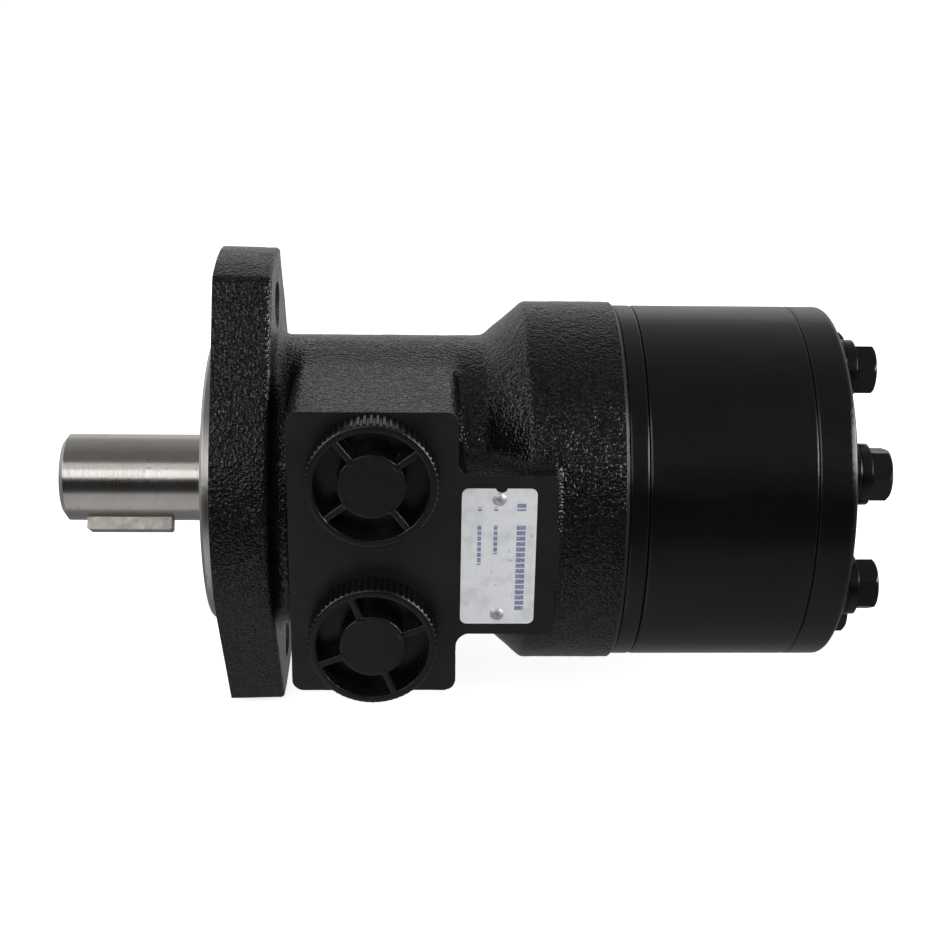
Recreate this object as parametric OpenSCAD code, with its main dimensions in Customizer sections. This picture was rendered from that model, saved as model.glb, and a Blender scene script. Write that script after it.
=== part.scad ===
// Orbital hydraulic motor: keyed shaft, two-bolt flange, side ports and a roller gear set.
// The shaft axis is X. The origin is on that axis, in the plane of the mounting face.
// The shaft points to -X, the ports open towards -Y and the flange is tallest along Z.

/* [Shaft and key] */
// Diameter of the shaft end
shaft_d = 25.4; // [24:0.1:26]
// Length of the shaft in front of the mounting face
shaft_len = 47.6; // [44:0.1:55]
// Width and height of the square key
key_w = 6.35; // [6:0.05:8]
// Length of the key
key_len = 24.5; // [15:0.1:28]
// Gap between the shaft's end face and the key
key_setback = 7.3; // [4:0.1:12]
// Direction of the key about the shaft axis, from +Y towards +Z
key_angle = 236.8; // [0:0.1:360]

/* [Flange] */
// Diameter of the locating pilot
pilot_d = 82.55; // [80:0.05:84]
// Height of the pilot above the mounting face
pilot_h = 3.4; // [2:0.1:4]
// Thickness of the flange
flange_t = 16; // [14:0.5:17]
// Distance between the two mounting holes
flange_pitch = 106.4; // [104:0.1:108]
// Diameter of a mounting hole
flange_hole_d = 13.5; // [11:0.1:14.5]
// Diameter of the circle that trims the flange's two ends
flange_d = 136; // [134:0.5:142]
// Diameter of the middle of the flange
flange_waist_d = 96; // [92:0.5:100]
// Slope of the flange's long sides, as the angle of their normals from Y
flange_slope = 31; // [27:1:34]

/* [Housing] */
// Diameter of the neck behind the flange
neck_d = 85; // [83:0.5:88]
// X where the cone starts
cone_x = 74.6; // [73:0.1:76]
// Length of the cone
cone_len = 11.7; // [11:0.1:15]
// Diameter of the bell
bell_d = 105.2; // [104:0.2:107]
// X of the housing's rear face
rear_x = 112.6; // [111:0.1:114]
// Distance from the shaft axis to the port face
port_face = 52.9; // [52.7:0.1:55]
// X where the port block starts
block_x = 21.5; // [20:0.5:23]
// Length of the port block
block_len = 45; // [43:0.5:47]
// Height of the port block
block_h = 82.4; // [80:0.2:84]
// Length of the name-plate pad
pad_len = 26.5; // [25:0.5:29]
// Height of the name-plate pad
pad_h = 47; // [44:0.5:50]

/* [Ports and plugs] */
// X of both ports
port_x = 43.9; // [43:0.1:45]
// Distance between the two ports
port_pitch = 46.8; // [44:0.1:48]
// Diameter of a plug's knurled head
plug_d = 35; // [32:0.5:36]
// Height of a plug's head above the port face
plug_h = 7.8; // [6:0.1:9]
// Number of ridges on a plug's knurl
plug_ridges = 64; // [48:4:72]
// Turn of the spokes in the upper and the lower plug
plug_turn = [38, 22]; // [0:1:90]

/* [Gear set and cover] */
// Diameter of the plate, the ring and the cover
stack_d = 103.2; // [102:0.2:106]
// Thickness of the spacer plate
plate_t = 5.5; // [5:0.1:8]
// Width of the roller ring, which sets the motor's displacement
ring_w = 45.75; // [40:0.05:52]
// Thickness of the end cover
cover_t = 10.65; // [10:0.05:14]
// Radius of the circle of roller centres
roller_circle_r = 31.5; // [31.3:0.1:31.7]
// Radius of a roller
roller_r = 6.35; // [6.25:0.05:6.4]
// Distance between the rotor's axis and the shaft axis
orbit_e = 2.8; // [2.7:0.05:2.85]

/* [Cover bolts] */
// Radius of the circle of cover bolts
bolt_circle_r = 39.1; // [38.8:0.1:39.6]
// Diameter of a bolt's shank
bolt_d = 7.9; // [7:0.1:8.2]
// Width across a bolt head's flats
bolt_af = 13.3; // [12:0.1:14]
// Height of a bolt head
bolt_head_h = 6; // [4.5:0.1:6.5]
// Thickness of a flat washer
flat_t = 2; // [1.5:0.1:2.5]
// Thickness of a spring washer
spring_t = 2.8; // [2:0.1:3]

/* [Hidden] */
$fn = 96;
eps = 0.01;

run_gap = 0.05;
n_roller = 7;
n_lobe = n_roller - 1;
roller_step = 360 / n_roller;
first_roller = 180;

// Planes along the shaft axis, from front to back
seat_dust_x = 2;
seat_seal_x = 4;
bearing_x = 11.5;
race_t = 1.5;
cage_t = 2;
spool_x = bearing_x + 2 * race_t + cage_t + 3 * run_gap;
cone_end_x = cone_x + cone_len;
ring_x = rear_x + plate_t;
cover_x = ring_x + ring_w;
cover_end_x = cover_x + cover_t;
head_x = cover_end_x + flat_t + spring_t;
block_end_x = block_x + block_len;

// Radii about the shaft axis
spool_r = 19;
bore_r = spool_r + run_gap;
journal_r = 14.3;
web_r = 15;
dust_seat_r = 18.4;
seal_seat_r = 17.8;
race_in_r = 14.7;
race_out_r = spool_r - 0.1;
groove_r = 25;
groove_w = 6;
groove_gap = 7.9;
feed_r = 4;
feed_offset = 6.2;
window_r = 2.5;
timing_hole_r = 2.8;
timing_circle_r = 29.8;
link_hole_r = 13;
ring_in_r = roller_circle_r - 0.5;
bolt_hole_r = bolt_d / 2 + 0.25;
washer_r = 8.7;

// Splines shared by the spool, the link and the rotor
spline_n = 12;
spline_x = [63, 77];
spline_tail = 14;
link_tail_x = cover_x - 15;
link_tilt = atan(orbit_e / (link_tail_x - spline_tail / 2 - (spline_x[0] + spline_x[1]) / 2));

// Ports
port_core_r = 10.4;
port_thread_r = 11.1;
port_depth = 16;
thread_pitch = 1.814;
thread_n = 7;
feed_end = 13.5;

// Thrust needles
needle_n = 24;
needle_r = 0.95;
needle_len = 3;
needle_mid_r = 16.85;

// Check valves
check_angles = [154.3, -154.3];
check_circle_r = 30;
ball_r = 2.5;
ball_x = 101.1;
seat_hole_r = 1.8;
seat_x = ball_x + sqrt(ball_r * ball_r - seat_hole_r * seat_hole_r) + 0.02;
seat_r = 3.6;

// Face seal grooves
cord_r = 1.05;
cord_h = 1.36;
groove_depth = 1.4;
o_ring_r = 46.9;

// Name plate
plate_size = [20, 40];
plate_mid_x = 77.5;
plate_skin = 0.5;
rivet_z = 17;
rivet_r = 1.85;

// ---------- shared shapes ----------

// Stands a shape drawn along Z on the shaft axis: its X, Y and Z become Y, Z and X.
module along_x(x) {
  translate([x, 0, 0])
    rotate([90, 0, 90])
      children();
}

// Turns a shape about the shaft axis so that it starts at an angle from the port side.
module at_angle(a) {
  rotate([180 + a, 0, 0])
    children();
}

// Puts a shape drawn along Z outside the port face, at a port's centre.
module at_port(z) {
  translate([port_x, -port_face, z])
    rotate([90, 0, 0])
      children();
}

module tube(r_out, r_in, h) {
  difference() {
    cylinder(r = r_out, h = h);
    translate([0, 0, -1])
      cylinder(r = r_in, h = h + 2);
  }
}

// A disc with a bevel on its front and on its rear edge
module bevelled_disc(r, h, front, rear) {
  rotate_extrude()
    polygon([[0, 0], [r - front, 0], [r, front], [r, h - rear], [r - rear, h], [0, h]]);
}

// Repeats a shape at the seven bolt angles, which lie between the rollers
module at_bolts(r) {
  for (i = [0 : n_roller - 1])
    at_angle(roller_step * (i + 0.5))
      translate([0, r, 0])
        children();
}

module bolt_holes(x, h) {
  at_bolts(bolt_circle_r)
    along_x(x)
      cylinder(r = bolt_hole_r, h = h);
}

function spline_points(tip_r, root_r, tip_a, root_a) = [
  for (k = [0 : spline_n - 1], c = [[-root_a, root_r], [-tip_a, tip_r], [tip_a, tip_r], [root_a, root_r]])
    let (a = k * 360 / spline_n + c[0])
      c[1] * [cos(a), sin(a)]
];

module outer_spline(h) {
  linear_extrude(h)
    polygon(spline_points(11.2, 9.4, 3.4, 5.4));
}

module inner_spline_cut(h) {
  linear_extrude(h)
    polygon(spline_points(11.9, 10.2, 6, 8.2));
}

// ---------- housing ----------

module flange_outline() {
  slope_y = cos(flange_slope);
  slope_z = sin(flange_slope);
  waist_r = flange_waist_d / 2;
  tip_z = flange_d / 2 + 2;
  tip_y = (waist_r - tip_z * slope_z) / slope_y;
  intersection() {
    circle(d = flange_d);
    union() {
      circle(r = waist_r);
      polygon([for (c = [[1, 1], [-1, 1], [-1, -1], [1, -1]], p = [0, 1])
        let (far = (c[0] * c[1] > 0) ? p : 1 - p)
          far == 0 ? [c[0] * waist_r * slope_y, c[1] * waist_r * slope_z] : [c[0] * tip_y, c[1] * tip_z]]);
    }
  }
}

// Concave blend where the flange's back meets the neck
module neck_blend() {
  blend_r = 3.2;
  along_x(flange_t)
    rotate_extrude()
      translate([neck_d / 2, 0])
        difference() {
          translate([-1, 0])
            square([1 + blend_r, blend_r]);
          translate([blend_r, blend_r])
            circle(r = blend_r);
        }
}

module body_of_revolution() {
  corner = 1.2;
  along_x(0)
    rotate_extrude()
      polygon([[0, flange_t - 1], [neck_d / 2, flange_t - 1], [neck_d / 2, cone_x],
               [bell_d / 2, cone_end_x], [bell_d / 2, rear_x - corner],
               [bell_d / 2 - corner, rear_x], [0, rear_x]]);
}

// Side view of the port block and the name-plate pad, with rounded inner and outer corners
module block_outline() {
  inner_r = 3.5;
  outer_r = 3.2;
  pad_end = block_end_x + pad_len;
  for (s = [-1, 1])
    for (x = [block_x + outer_r, block_end_x - outer_r])
      translate([x, s * (block_h / 2 - outer_r)])
        circle(r = outer_r);
  translate([block_x + outer_r, -block_h / 2])
    square([block_len - 2 * outer_r, block_h]);
  translate([block_x, -block_h / 2 + outer_r])
    square([block_len, block_h - 2 * outer_r]);
  translate([block_end_x - 1, -pad_h / 2])
    square([pad_end - block_end_x + 1, pad_h]);
  for (s = [-1, 1])
    translate([block_end_x, s * pad_h / 2])
      difference() {
        translate([-1, min(0, s * inner_r)])
          square([1 + inner_r, inner_r]);
        translate([inner_r, s * inner_r])
          circle(r = inner_r);
      }
}

module block_and_pad() {
  rotate([90, 0, 0])
    linear_extrude(port_face)
      block_outline();
}

// Core drill, thread and mouth of one port, opening towards -Y
module port_cut(z) {
  ridge = port_thread_r - port_core_r;
  at_port(z) {
    translate([0, 0, -port_depth])
      cylinder(r = port_core_r, h = port_depth + 1);
    for (i = [0 : thread_n - 1])
      translate([0, 0, -2.2 - i * thread_pitch])
        rotate_extrude()
          polygon([[port_core_r - 0.2, -0.75], [port_core_r, -0.75], [port_thread_r, -0.1],
                   [port_thread_r, 0.1], [port_core_r, 0.75], [port_core_r - 0.2, 0.75]]);
    rotate_extrude()
      polygon([[0, -ridge - 0.4], [port_core_r, -ridge - 0.4], [port_thread_r + 0.4, 0],
               [port_thread_r + 0.4, 1], [0, 1]]);
  }
}

// Drilled way from the bottom of a port to its ring groove in the bore
module feed_cut(z, dx) {
  translate([port_x + dx, -port_face + port_depth - 1, z])
    rotate([-90, 0, 0])
      cylinder(r = feed_r, h = port_face - port_depth + 1 - feed_end);
}

module bore_cut() {
  along_x(bearing_x)
    cylinder(r = bore_r, h = rear_x);
  along_x(seat_seal_x)
    cylinder(r = seal_seat_r, h = rear_x - seat_seal_x);
  along_x(-pilot_h - 1)
    cylinder(r = web_r, h = 20);
  along_x(-pilot_h - 1)
    cylinder(r = dust_seat_r, h = pilot_h + 1 + seat_dust_x);
  for (dx = [-groove_gap, groove_gap])
    along_x(port_x + dx - groove_w / 2)
      cylinder(r = groove_r, h = groove_w);
}

// Seven ways from the bore back to the gear set's chambers
module timing_cut() {
  start_x = port_x - window_r - 0.8;
  at_bolts(timing_circle_r)
    along_x(start_x)
      cylinder(r = timing_hole_r, h = rear_x - start_x + 1);
  at_bolts(bore_r - 2)
    translate([port_x, 0, 0])
      rotate([-90, 0, 0])
        cylinder(r = window_r, h = timing_circle_r - bore_r + 2.4);
}

module check_valve_cut() {
  way_r = 1.6;
  for (i = [0, 1])
    at_angle(check_angles[i])
      translate([0, check_circle_r, 0]) {
        groove_x = port_x + (i == 0 ? -groove_gap : groove_gap);
        along_x(seat_x)
          cylinder(r = seat_r + 0.02, h = rear_x);
        along_x(ball_x - ball_r - 1.4)
          cylinder(r = ball_r + 0.3, h = 10);
        along_x(groove_x)
          cylinder(r = way_r, h = ball_x - groove_x);
        translate([groove_x, 0, 0])
          rotate([90, 0, 0])
            cylinder(r = way_r, h = check_circle_r - groove_r + 1);
      }
}

module housing() {
  color([0.035, 0.035, 0.04])
    difference() {
      union() {
        along_x(0)
          linear_extrude(flange_t)
            flange_outline();
        along_x(-pilot_h)
          bevelled_disc(pilot_d / 2, pilot_h + 1, 0.8, 0);
        body_of_revolution();
        neck_blend();
        block_and_pad();
      }
      for (s = [-1, 1])
        translate([0, 0, s * flange_pitch / 2])
          along_x(-1)
            cylinder(d = flange_hole_d, h = flange_t + 2);
      bore_cut();
      for (s = [-1, 1]) {
        port_cut(s * port_pitch / 2);
        feed_cut(s * port_pitch / 2, -s * feed_offset);
        translate([plate_mid_x, -port_face + 4, s * rivet_z])
          rotate([90, 0, 0])
            cylinder(r = 1.02, h = 5);
      }
      timing_cut();
      check_valve_cut();
      at_bolts(bolt_circle_r)
        along_x(rear_x - 17)
          cylinder(r = bolt_d / 2 + 0.03, h = 18);
      o_ring_groove(rear_x - groove_depth);
    }
}

// ---------- front seals and thrust bearing ----------

module dust_seal() {
  color([0.05, 0.05, 0.05])
    along_x(-pilot_h + 0.6)
      rotate_extrude()
        polygon([[journal_r + 0.05, 1.2], [journal_r + 0.6, 0], [journal_r + 1.2, 0.4],
                 [journal_r + 2.2, 1.4], [dust_seat_r - 0.02, 1.4], [dust_seat_r - 0.02, 4.3],
                 [journal_r + 1.0, 4.3], [journal_r + 1.0, 2.4]]);
}

module backup_ring() {
  color([0.85, 0.84, 0.78])
    along_x(seat_seal_x + 0.02)
      tube(seal_seat_r - 0.02, journal_r + 0.1, 1.2);
}

module shaft_seal() {
  color([0.25, 0.08, 0.06])
    along_x(seat_seal_x + 1.25)
      rotate_extrude()
        polygon([[journal_r + 0.9, 0], [seal_seat_r - 0.02, 0], [seal_seat_r - 0.02, 5.8],
                 [journal_r + 2.4, 5.8], [journal_r + 2.4, 2.2], [journal_r + 0.9, 5.2],
                 [journal_r + 0.05, 4.2], [journal_r + 0.7, 2.4]]);
}

module thrust_race(x) {
  color([0.75, 0.76, 0.78])
    along_x(x)
      tube(race_out_r, race_in_r, race_t);
}

module thrust_race_front() {
  thrust_race(bearing_x);
}

module thrust_race_rear() {
  thrust_race(bearing_x + race_t + cage_t + 2 * run_gap);
}

// Puts a shape drawn along Z, out from the axis, at each needle's place in the cage
module at_needles() {
  for (i = [0 : needle_n - 1])
    translate([bearing_x + race_t + run_gap + cage_t / 2, 0, 0])
      rotate([i * 360 / needle_n, 0, 0])
        translate([0, 0, needle_mid_r - needle_len / 2])
          children();
}

module thrust_cage() {
  color([0.72, 0.6, 0.3])
    difference() {
      along_x(bearing_x + race_t + run_gap + 0.4)
        tube(race_out_r - 0.1, race_in_r + 0.1, cage_t - 0.8);
      at_needles()
        translate([0, 0, -0.04])
          cylinder(r = needle_r + 0.04, h = needle_len + 0.08);
    }
}

module thrust_needles() {
  color([0.8, 0.8, 0.82])
    at_needles()
      cylinder(r = needle_r, h = needle_len);
}

// ---------- turning parts ----------

module key_shape(w, h, len, bevel) {
  linear_extrude(h)
    polygon([[bevel, 0], [len - bevel, 0], [len, bevel], [len, w - bevel],
             [len - bevel, w], [bevel, w], [0, w - bevel], [0, bevel]]);
}

// Places a key drawn with its length along X and its height along Z
module at_key() {
  key_stand = 3.3;
  rotate([key_angle - 90, 0, 0])
    translate([-shaft_len + key_setback, -key_w / 2, shaft_d / 2 + key_stand - key_w])
      children();
}

module spool_slots() {
  slot_w = 2.6;
  slot_depth = 1.5;
  reach = groove_gap + groove_w / 2;
  for (i = [0 : 2 * n_lobe - 1])
    rotate([i * 180 / n_lobe, 0, 0])
      translate([port_x + (i % 2 == 0 ? -reach : -window_r), spool_r - slot_depth, -slot_w / 2])
        cube([reach + window_r, slot_depth + 1, slot_w]);
}

module output_shaft() {
  hollow_r = 12.2;
  end_bevel = [1.5, 2];
  color([0.72, 0.72, 0.73])
    difference() {
      along_x(0)
        rotate_extrude()
          polygon([[0, -shaft_len], [shaft_d / 2 - end_bevel[1], -shaft_len],
                   [shaft_d / 2, -shaft_len + end_bevel[0]], [shaft_d / 2, -2.2],
                   [journal_r, -1.2], [journal_r, spool_x], [spool_r - 0.5, spool_x],
                   [spool_r, spool_x + 0.5], [spool_r, rear_x - 0.6],
                   [spool_r - 0.5, rear_x - 0.1], [0, rear_x - 0.1]]);
      at_key()
        cube([key_len, key_w, key_w]);
      spool_slots();
      along_x(spline_x[0] - 2)
        inner_spline_cut(spline_x[1] - spline_x[0] + 6);
      along_x(spline_x[0] - 6)
        cylinder(r = 10, h = 8);
      along_x(spline_x[1] + 2)
        cylinder(r = hollow_r, h = rear_x);
    }
}

module shaft_key() {
  color([0.66, 0.64, 0.6])
    at_key()
      intersection() {
        key_shape(key_w, key_w, key_len, 0.02);
        translate([0, key_w, 0])
          rotate([90, 0, 0])
            key_shape(key_w, key_w, key_len, 0.5);
      }
}

// The link leans from the shaft axis at its front spline to the rotor's axis at its rear one.
module drive_link() {
  front = (spline_x[0] + spline_x[1]) / 2;
  rear = link_tail_x - spline_tail / 2;
  span = (rear - front) / cos(link_tilt);
  half = spline_tail / 2;
  color([0.42, 0.42, 0.44])
    translate([front, 0, 0])
      rotate([0, -link_tilt, 0])
        along_x(0)
          union() {
            for (z = [-half, span - half])
              translate([0, 0, z])
                intersection() {
                  outer_spline(spline_tail);
                  bevelled_disc(11.3, spline_tail, 1.4, 1.4);
                }
            cylinder(r = 8.5, h = span);
            translate([0, 0, -half - 1.5])
              cylinder(r = 6, h = 2);
            translate([0, 0, span + half - 0.5])
              cylinder(r = 6, h = 2);
          }
}

// A point of the rotor's outline: the rollers' centres, seen from the turning rotor, trace a
// curve, and the outline runs one roller radius inside it.
function lobe_path(a) =
  roller_circle_r * [cos(a), sin(a)] + orbit_e * [cos(n_roller * a + 90), sin(n_roller * a + 90)];
function lobe_slope(a) =
  roller_circle_r * [-sin(a), cos(a)] + n_roller * orbit_e * [-sin(n_roller * a + 90), cos(n_roller * a + 90)];
function lobe_point(a, r) =
  let (t = lobe_slope(a) / norm(lobe_slope(a)))
    lobe_path(a) + r * [-t[1], t[0]];

module star_rotor() {
  n_point = 240;
  color([0.6, 0.6, 0.62])
    translate([0, 0, orbit_e])
      along_x(ring_x + run_gap)
        difference() {
          linear_extrude(ring_w - 2 * run_gap)
            polygon([for (i = [0 : n_point - 1]) lobe_point(i * 360 / n_point, roller_r + 0.05)]);
          translate([0, 0, -1])
            inner_spline_cut(ring_w + 2);
        }
}

module rotor_spacer() {
  color([0.5, 0.5, 0.52])
    translate([0, 0, orbit_e])
      along_x(link_tail_x + 3.4)
        bevelled_disc(9.8, cover_x - link_tail_x - 3.6, 0.5, 0.5);
}

module roller(i) {
  a = first_roller + (i - 1) * roller_step;
  color([0.78, 0.78, 0.8])
    translate([0, roller_circle_r * cos(a), roller_circle_r * sin(a)])
      along_x(ring_x + run_gap)
        bevelled_disc(roller_r, ring_w - 2 * run_gap, 0.3, 0.3);
}

module roller_1() { roller(1); }
module roller_2() { roller(2); }
module roller_3() { roller(3); }
module roller_4() { roller(4); }
module roller_5() { roller(5); }
module roller_6() { roller(6); }
module roller_7() { roller(7); }

// ---------- plates behind the housing ----------

module geroler_ring() {
  color([0.04, 0.04, 0.045])
    difference() {
      along_x(ring_x)
        bevelled_disc(stack_d / 2, ring_w, 0.5, 0.5);
      along_x(ring_x - 1)
        cylinder(r = ring_in_r, h = ring_w + 2);
      for (i = [0 : n_roller - 1])
        rotate([first_roller + i * roller_step, 0, 0])
          translate([0, roller_circle_r, 0])
            along_x(ring_x - 1)
              cylinder(r = roller_r + 0.04, h = ring_w + 2);
      bolt_holes(ring_x - 1, ring_w + 2);
    }
}

module spacer_plate() {
  color([0.04, 0.04, 0.045])
    difference() {
      along_x(rear_x)
        bevelled_disc(stack_d / 2, plate_t, 0.5, 0.5);
      along_x(rear_x - 1)
        cylinder(r = link_hole_r, h = plate_t + 2);
      at_bolts(timing_circle_r)
        along_x(rear_x - 1)
          cylinder(r = timing_hole_r, h = plate_t + 2);
      bolt_holes(rear_x - 1, plate_t + 2);
      o_ring_groove(ring_x - groove_depth);
    }
}

module end_cover() {
  rim_r = 2;
  color([0.04, 0.04, 0.045])
    difference() {
      along_x(cover_x)
        rotate_extrude() {
          polygon([[0, 0], [stack_d / 2 - 0.5, 0], [stack_d / 2, 0.5], [stack_d / 2, cover_t - rim_r],
                   [stack_d / 2 - rim_r, cover_t - rim_r], [stack_d / 2 - rim_r, cover_t], [0, cover_t]]);
          intersection() {
            translate([stack_d / 2 - rim_r, cover_t - rim_r])
              circle(r = rim_r);
            translate([0, cover_t - rim_r])
              square([stack_d, rim_r]);
          }
        }
      bolt_holes(cover_x - 1, cover_t + 2);
      o_ring_groove(cover_x - 1);
    }
}

// ---------- face seals ----------

// The cut runs 1 past the face it opens into.
module o_ring_groove(x) {
  along_x(x)
    tube(o_ring_r + cord_r + 0.1, o_ring_r - cord_r - 0.1, groove_depth + 1);
}

// A round cord, squeezed flat between the two faces that hold it
module o_ring(x) {
  color([0.03, 0.03, 0.03])
    along_x(x + cord_h / 2 + 0.02)
      rotate_extrude()
        translate([o_ring_r, 0])
          intersection() {
            circle(r = cord_r);
            square([2 * cord_r, cord_h], center = true);
          }
}

module housing_o_ring() {
  o_ring(rear_x - groove_depth);
}

module plate_o_ring() {
  o_ring(ring_x - groove_depth);
}

module cover_o_ring() {
  o_ring(cover_x);
}

// ---------- cover bolts and washers ----------

// Each head stops at its own angle when the bolt is tight.
bolt_turns = [28, 47, 5, 38, 20, 41, 49];

module cover_bolts() {
  head_r = bolt_af / 2 / cos(30);
  color([0.05, 0.05, 0.055])
    for (i = [0 : n_roller - 1])
      at_angle(roller_step * (i + 0.5))
        translate([0, bolt_circle_r, 0]) {
          along_x(rear_x - 15)
            bevelled_disc(bolt_d / 2, head_x - rear_x + 16, 0.8, 0);
          along_x(head_x)
            bevelled_disc(bolt_af / 2 - 0.2, 1, 0.1, 0);
          along_x(head_x + 0.4)
            rotate([0, 0, bolt_turns[i] - roller_step * (i + 0.5)])
              intersection() {
                cylinder(r = head_r, h = bolt_head_h - 0.4, $fn = 6);
                bevelled_disc(head_r + 0.05, bolt_head_h - 0.4, 0.5, 1.1);
              }
        }
}

module spring_washers() {
  split_w = 1.1;
  color([0.05, 0.05, 0.055])
    for (i = [0 : n_roller - 1])
      at_angle(roller_step * (i + 0.5))
        translate([0, bolt_circle_r, 0])
          along_x(cover_end_x + flat_t)
            difference() {
              tube(washer_r - 0.2, bolt_d / 2 + 0.15, spring_t);
              rotate([0, 0, 3 * bolt_turns[i]])
                translate([0, -split_w / 2, spring_t / 2])
                  rotate([35, 0, 0])
                    translate([0, 0, -5])
                      cube([12, split_w, 10]);
            }
}

module flat_washers() {
  color([0.05, 0.05, 0.055])
    at_bolts(bolt_circle_r)
      along_x(cover_end_x)
        difference() {
          bevelled_disc(washer_r, flat_t, 0.2, 0.4);
          translate([0, 0, -1])
            cylinder(r = bolt_d / 2 + 0.15, h = flat_t + 2);
        }
}

// ---------- check valves ----------

module check_seats() {
  color([0.6, 0.6, 0.62])
    for (a = check_angles)
      at_angle(a)
        translate([0, check_circle_r, 0])
          along_x(seat_x)
            tube(seat_r, seat_hole_r, rear_x - seat_x - 0.1);
}

module check_ball(a) {
  color([0.85, 0.85, 0.87])
    at_angle(a)
      translate([ball_x, check_circle_r, 0])
        sphere(r = ball_r);
}

module check_ball_a() { check_ball(check_angles[0]); }
module check_ball_b() { check_ball(check_angles[1]); }

// ---------- name plate ----------

module name_plate() {
  corner_r = 1.8;
  inner = plate_size - [2 * corner_r, 2 * corner_r];
  color([0.8, 0.81, 0.83])
    translate([plate_mid_x, -port_face, 0])
      rotate([90, 0, 0])
        difference() {
          linear_extrude(plate_skin) {
            square([inner[0], plate_size[1]], center = true);
            square([plate_size[0], inner[1]], center = true);
            for (sx = [-1, 1])
              for (sz = [-1, 1])
                translate([sx * inner[0] / 2, sz * inner[1] / 2])
                  circle(r = corner_r);
          }
          for (s = [-1, 1])
            translate([0, s * rivet_z, -1])
              cylinder(r = 1.1, h = 3);
        }
}

module plate_rivets() {
  color([0.7, 0.7, 0.7])
    for (s = [-1, 1])
      translate([plate_mid_x, -port_face - plate_skin, s * rivet_z])
        rotate([90, 0, 0]) {
          intersection() {
            cylinder(r = rivet_r, h = 0.8);
            translate([0, 0, -1.9])
              sphere(r = 2.7);
          }
          translate([0, 0, -4])
            cylinder(r = 1, h = 4.1);
        }
}

// ---------- port plugs ----------

function knurl_points(r_tip, r_root, n) = [
  for (k = [0 : n - 1], c = [[-0.3, r_tip], [0.1, r_tip], [0.25, r_root], [0.55, r_root]])
    let (a = (k + c[0]) * 360 / n)
      c[1] * [cos(a), sin(a)]
];

module port_plug(z, turn) {
  rim_r = 15.15;
  hub_r = 9;
  spoke_w = 1.8;
  floor_h = 1.2;
  stem_r = port_core_r - 0.3;
  stem_in_r = 8.6;
  stem_len = 11;
  color([0.03, 0.03, 0.03])
    at_port(z) {
      difference() {
        union() {
          translate([0, 0, eps])
            linear_extrude(plug_h - 0.9)
              polygon(knurl_points(plug_d / 2, plug_d / 2 - 0.45, plug_ridges));
          translate([0, 0, 1])
            bevelled_disc(plug_d / 2 - 0.3, plug_h - 1, 0, 0.5);
        }
        translate([0, 0, floor_h])
          cylinder(r = rim_r, h = plug_h);
        translate([0, 0, -1])
          cylinder(r = stem_in_r, h = floor_h + 2);
      }
      difference() {
        translate([0, 0, floor_h - 0.2])
          cylinder(r = hub_r, h = plug_h - 0.3 - floor_h + 0.2);
        translate([0, 0, floor_h - 1])
          cylinder(r = hub_r - 1.4, h = plug_h - 2.5);
      }
      intersection() {
        translate([0, 0, floor_h - 0.2])
          tube(rim_r + 0.5, hub_r - 0.4, plug_h - 0.4 - floor_h + 0.2);
        for (k = [0 : 3])
          rotate([0, 0, turn + k * 90])
            translate([0, -spoke_w / 2, 0])
              cube([rim_r + 1, spoke_w, plug_h]);
      }
      difference() {
        translate([0, 0, -stem_len])
          bevelled_disc(stem_r, stem_len + floor_h, 1, 0);
        translate([0, 0, -stem_len - 1])
          cylinder(r = stem_in_r, h = stem_len + floor_h + 2);
        for (i = [0 : 3])
          translate([0, 0, -2.2 - thread_pitch / 2 - i * thread_pitch])
            rotate_extrude()
              polygon([[stem_r + 0.3, -0.6], [stem_r - 0.6, -0.1], [stem_r - 0.6, 0.1], [stem_r + 0.3, 0.6]]);
      }
    }
}

module port_plug_a() { port_plug(port_pitch / 2, plug_turn[0]); }
module port_plug_b() { port_plug(-port_pitch / 2, plug_turn[1]); }

housing();
dust_seal();
backup_ring();
shaft_seal();
thrust_race_front();
thrust_cage();
thrust_needles();
thrust_race_rear();
output_shaft();
shaft_key();
drive_link();
star_rotor();
rotor_spacer();
roller_1();
roller_2();
roller_3();
roller_4();
roller_5();
roller_6();
roller_7();
geroler_ring();
spacer_plate();
end_cover();
housing_o_ring();
plate_o_ring();
cover_o_ring();
cover_bolts();
spring_washers();
flat_washers();
check_seats();
check_ball_a();
check_ball_b();
name_plate();
plate_rivets();
port_plug_a();
port_plug_b();
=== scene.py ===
"""Looks of the orbital hydraulic motor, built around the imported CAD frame.

The cast housing, the port plugs and the name plate are meshed here from fields: a field takes points
(x, y, z) and gives a number that is negative inside the solid and close to the distance near its skin.
The other parts keep their CAD meshes, with softened edges. Lengths are in millimetres until a mesh is
made, when MM turns them into metres.
"""
import math

import bpy
import numpy as np
from mathutils import Matrix, Vector


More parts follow.
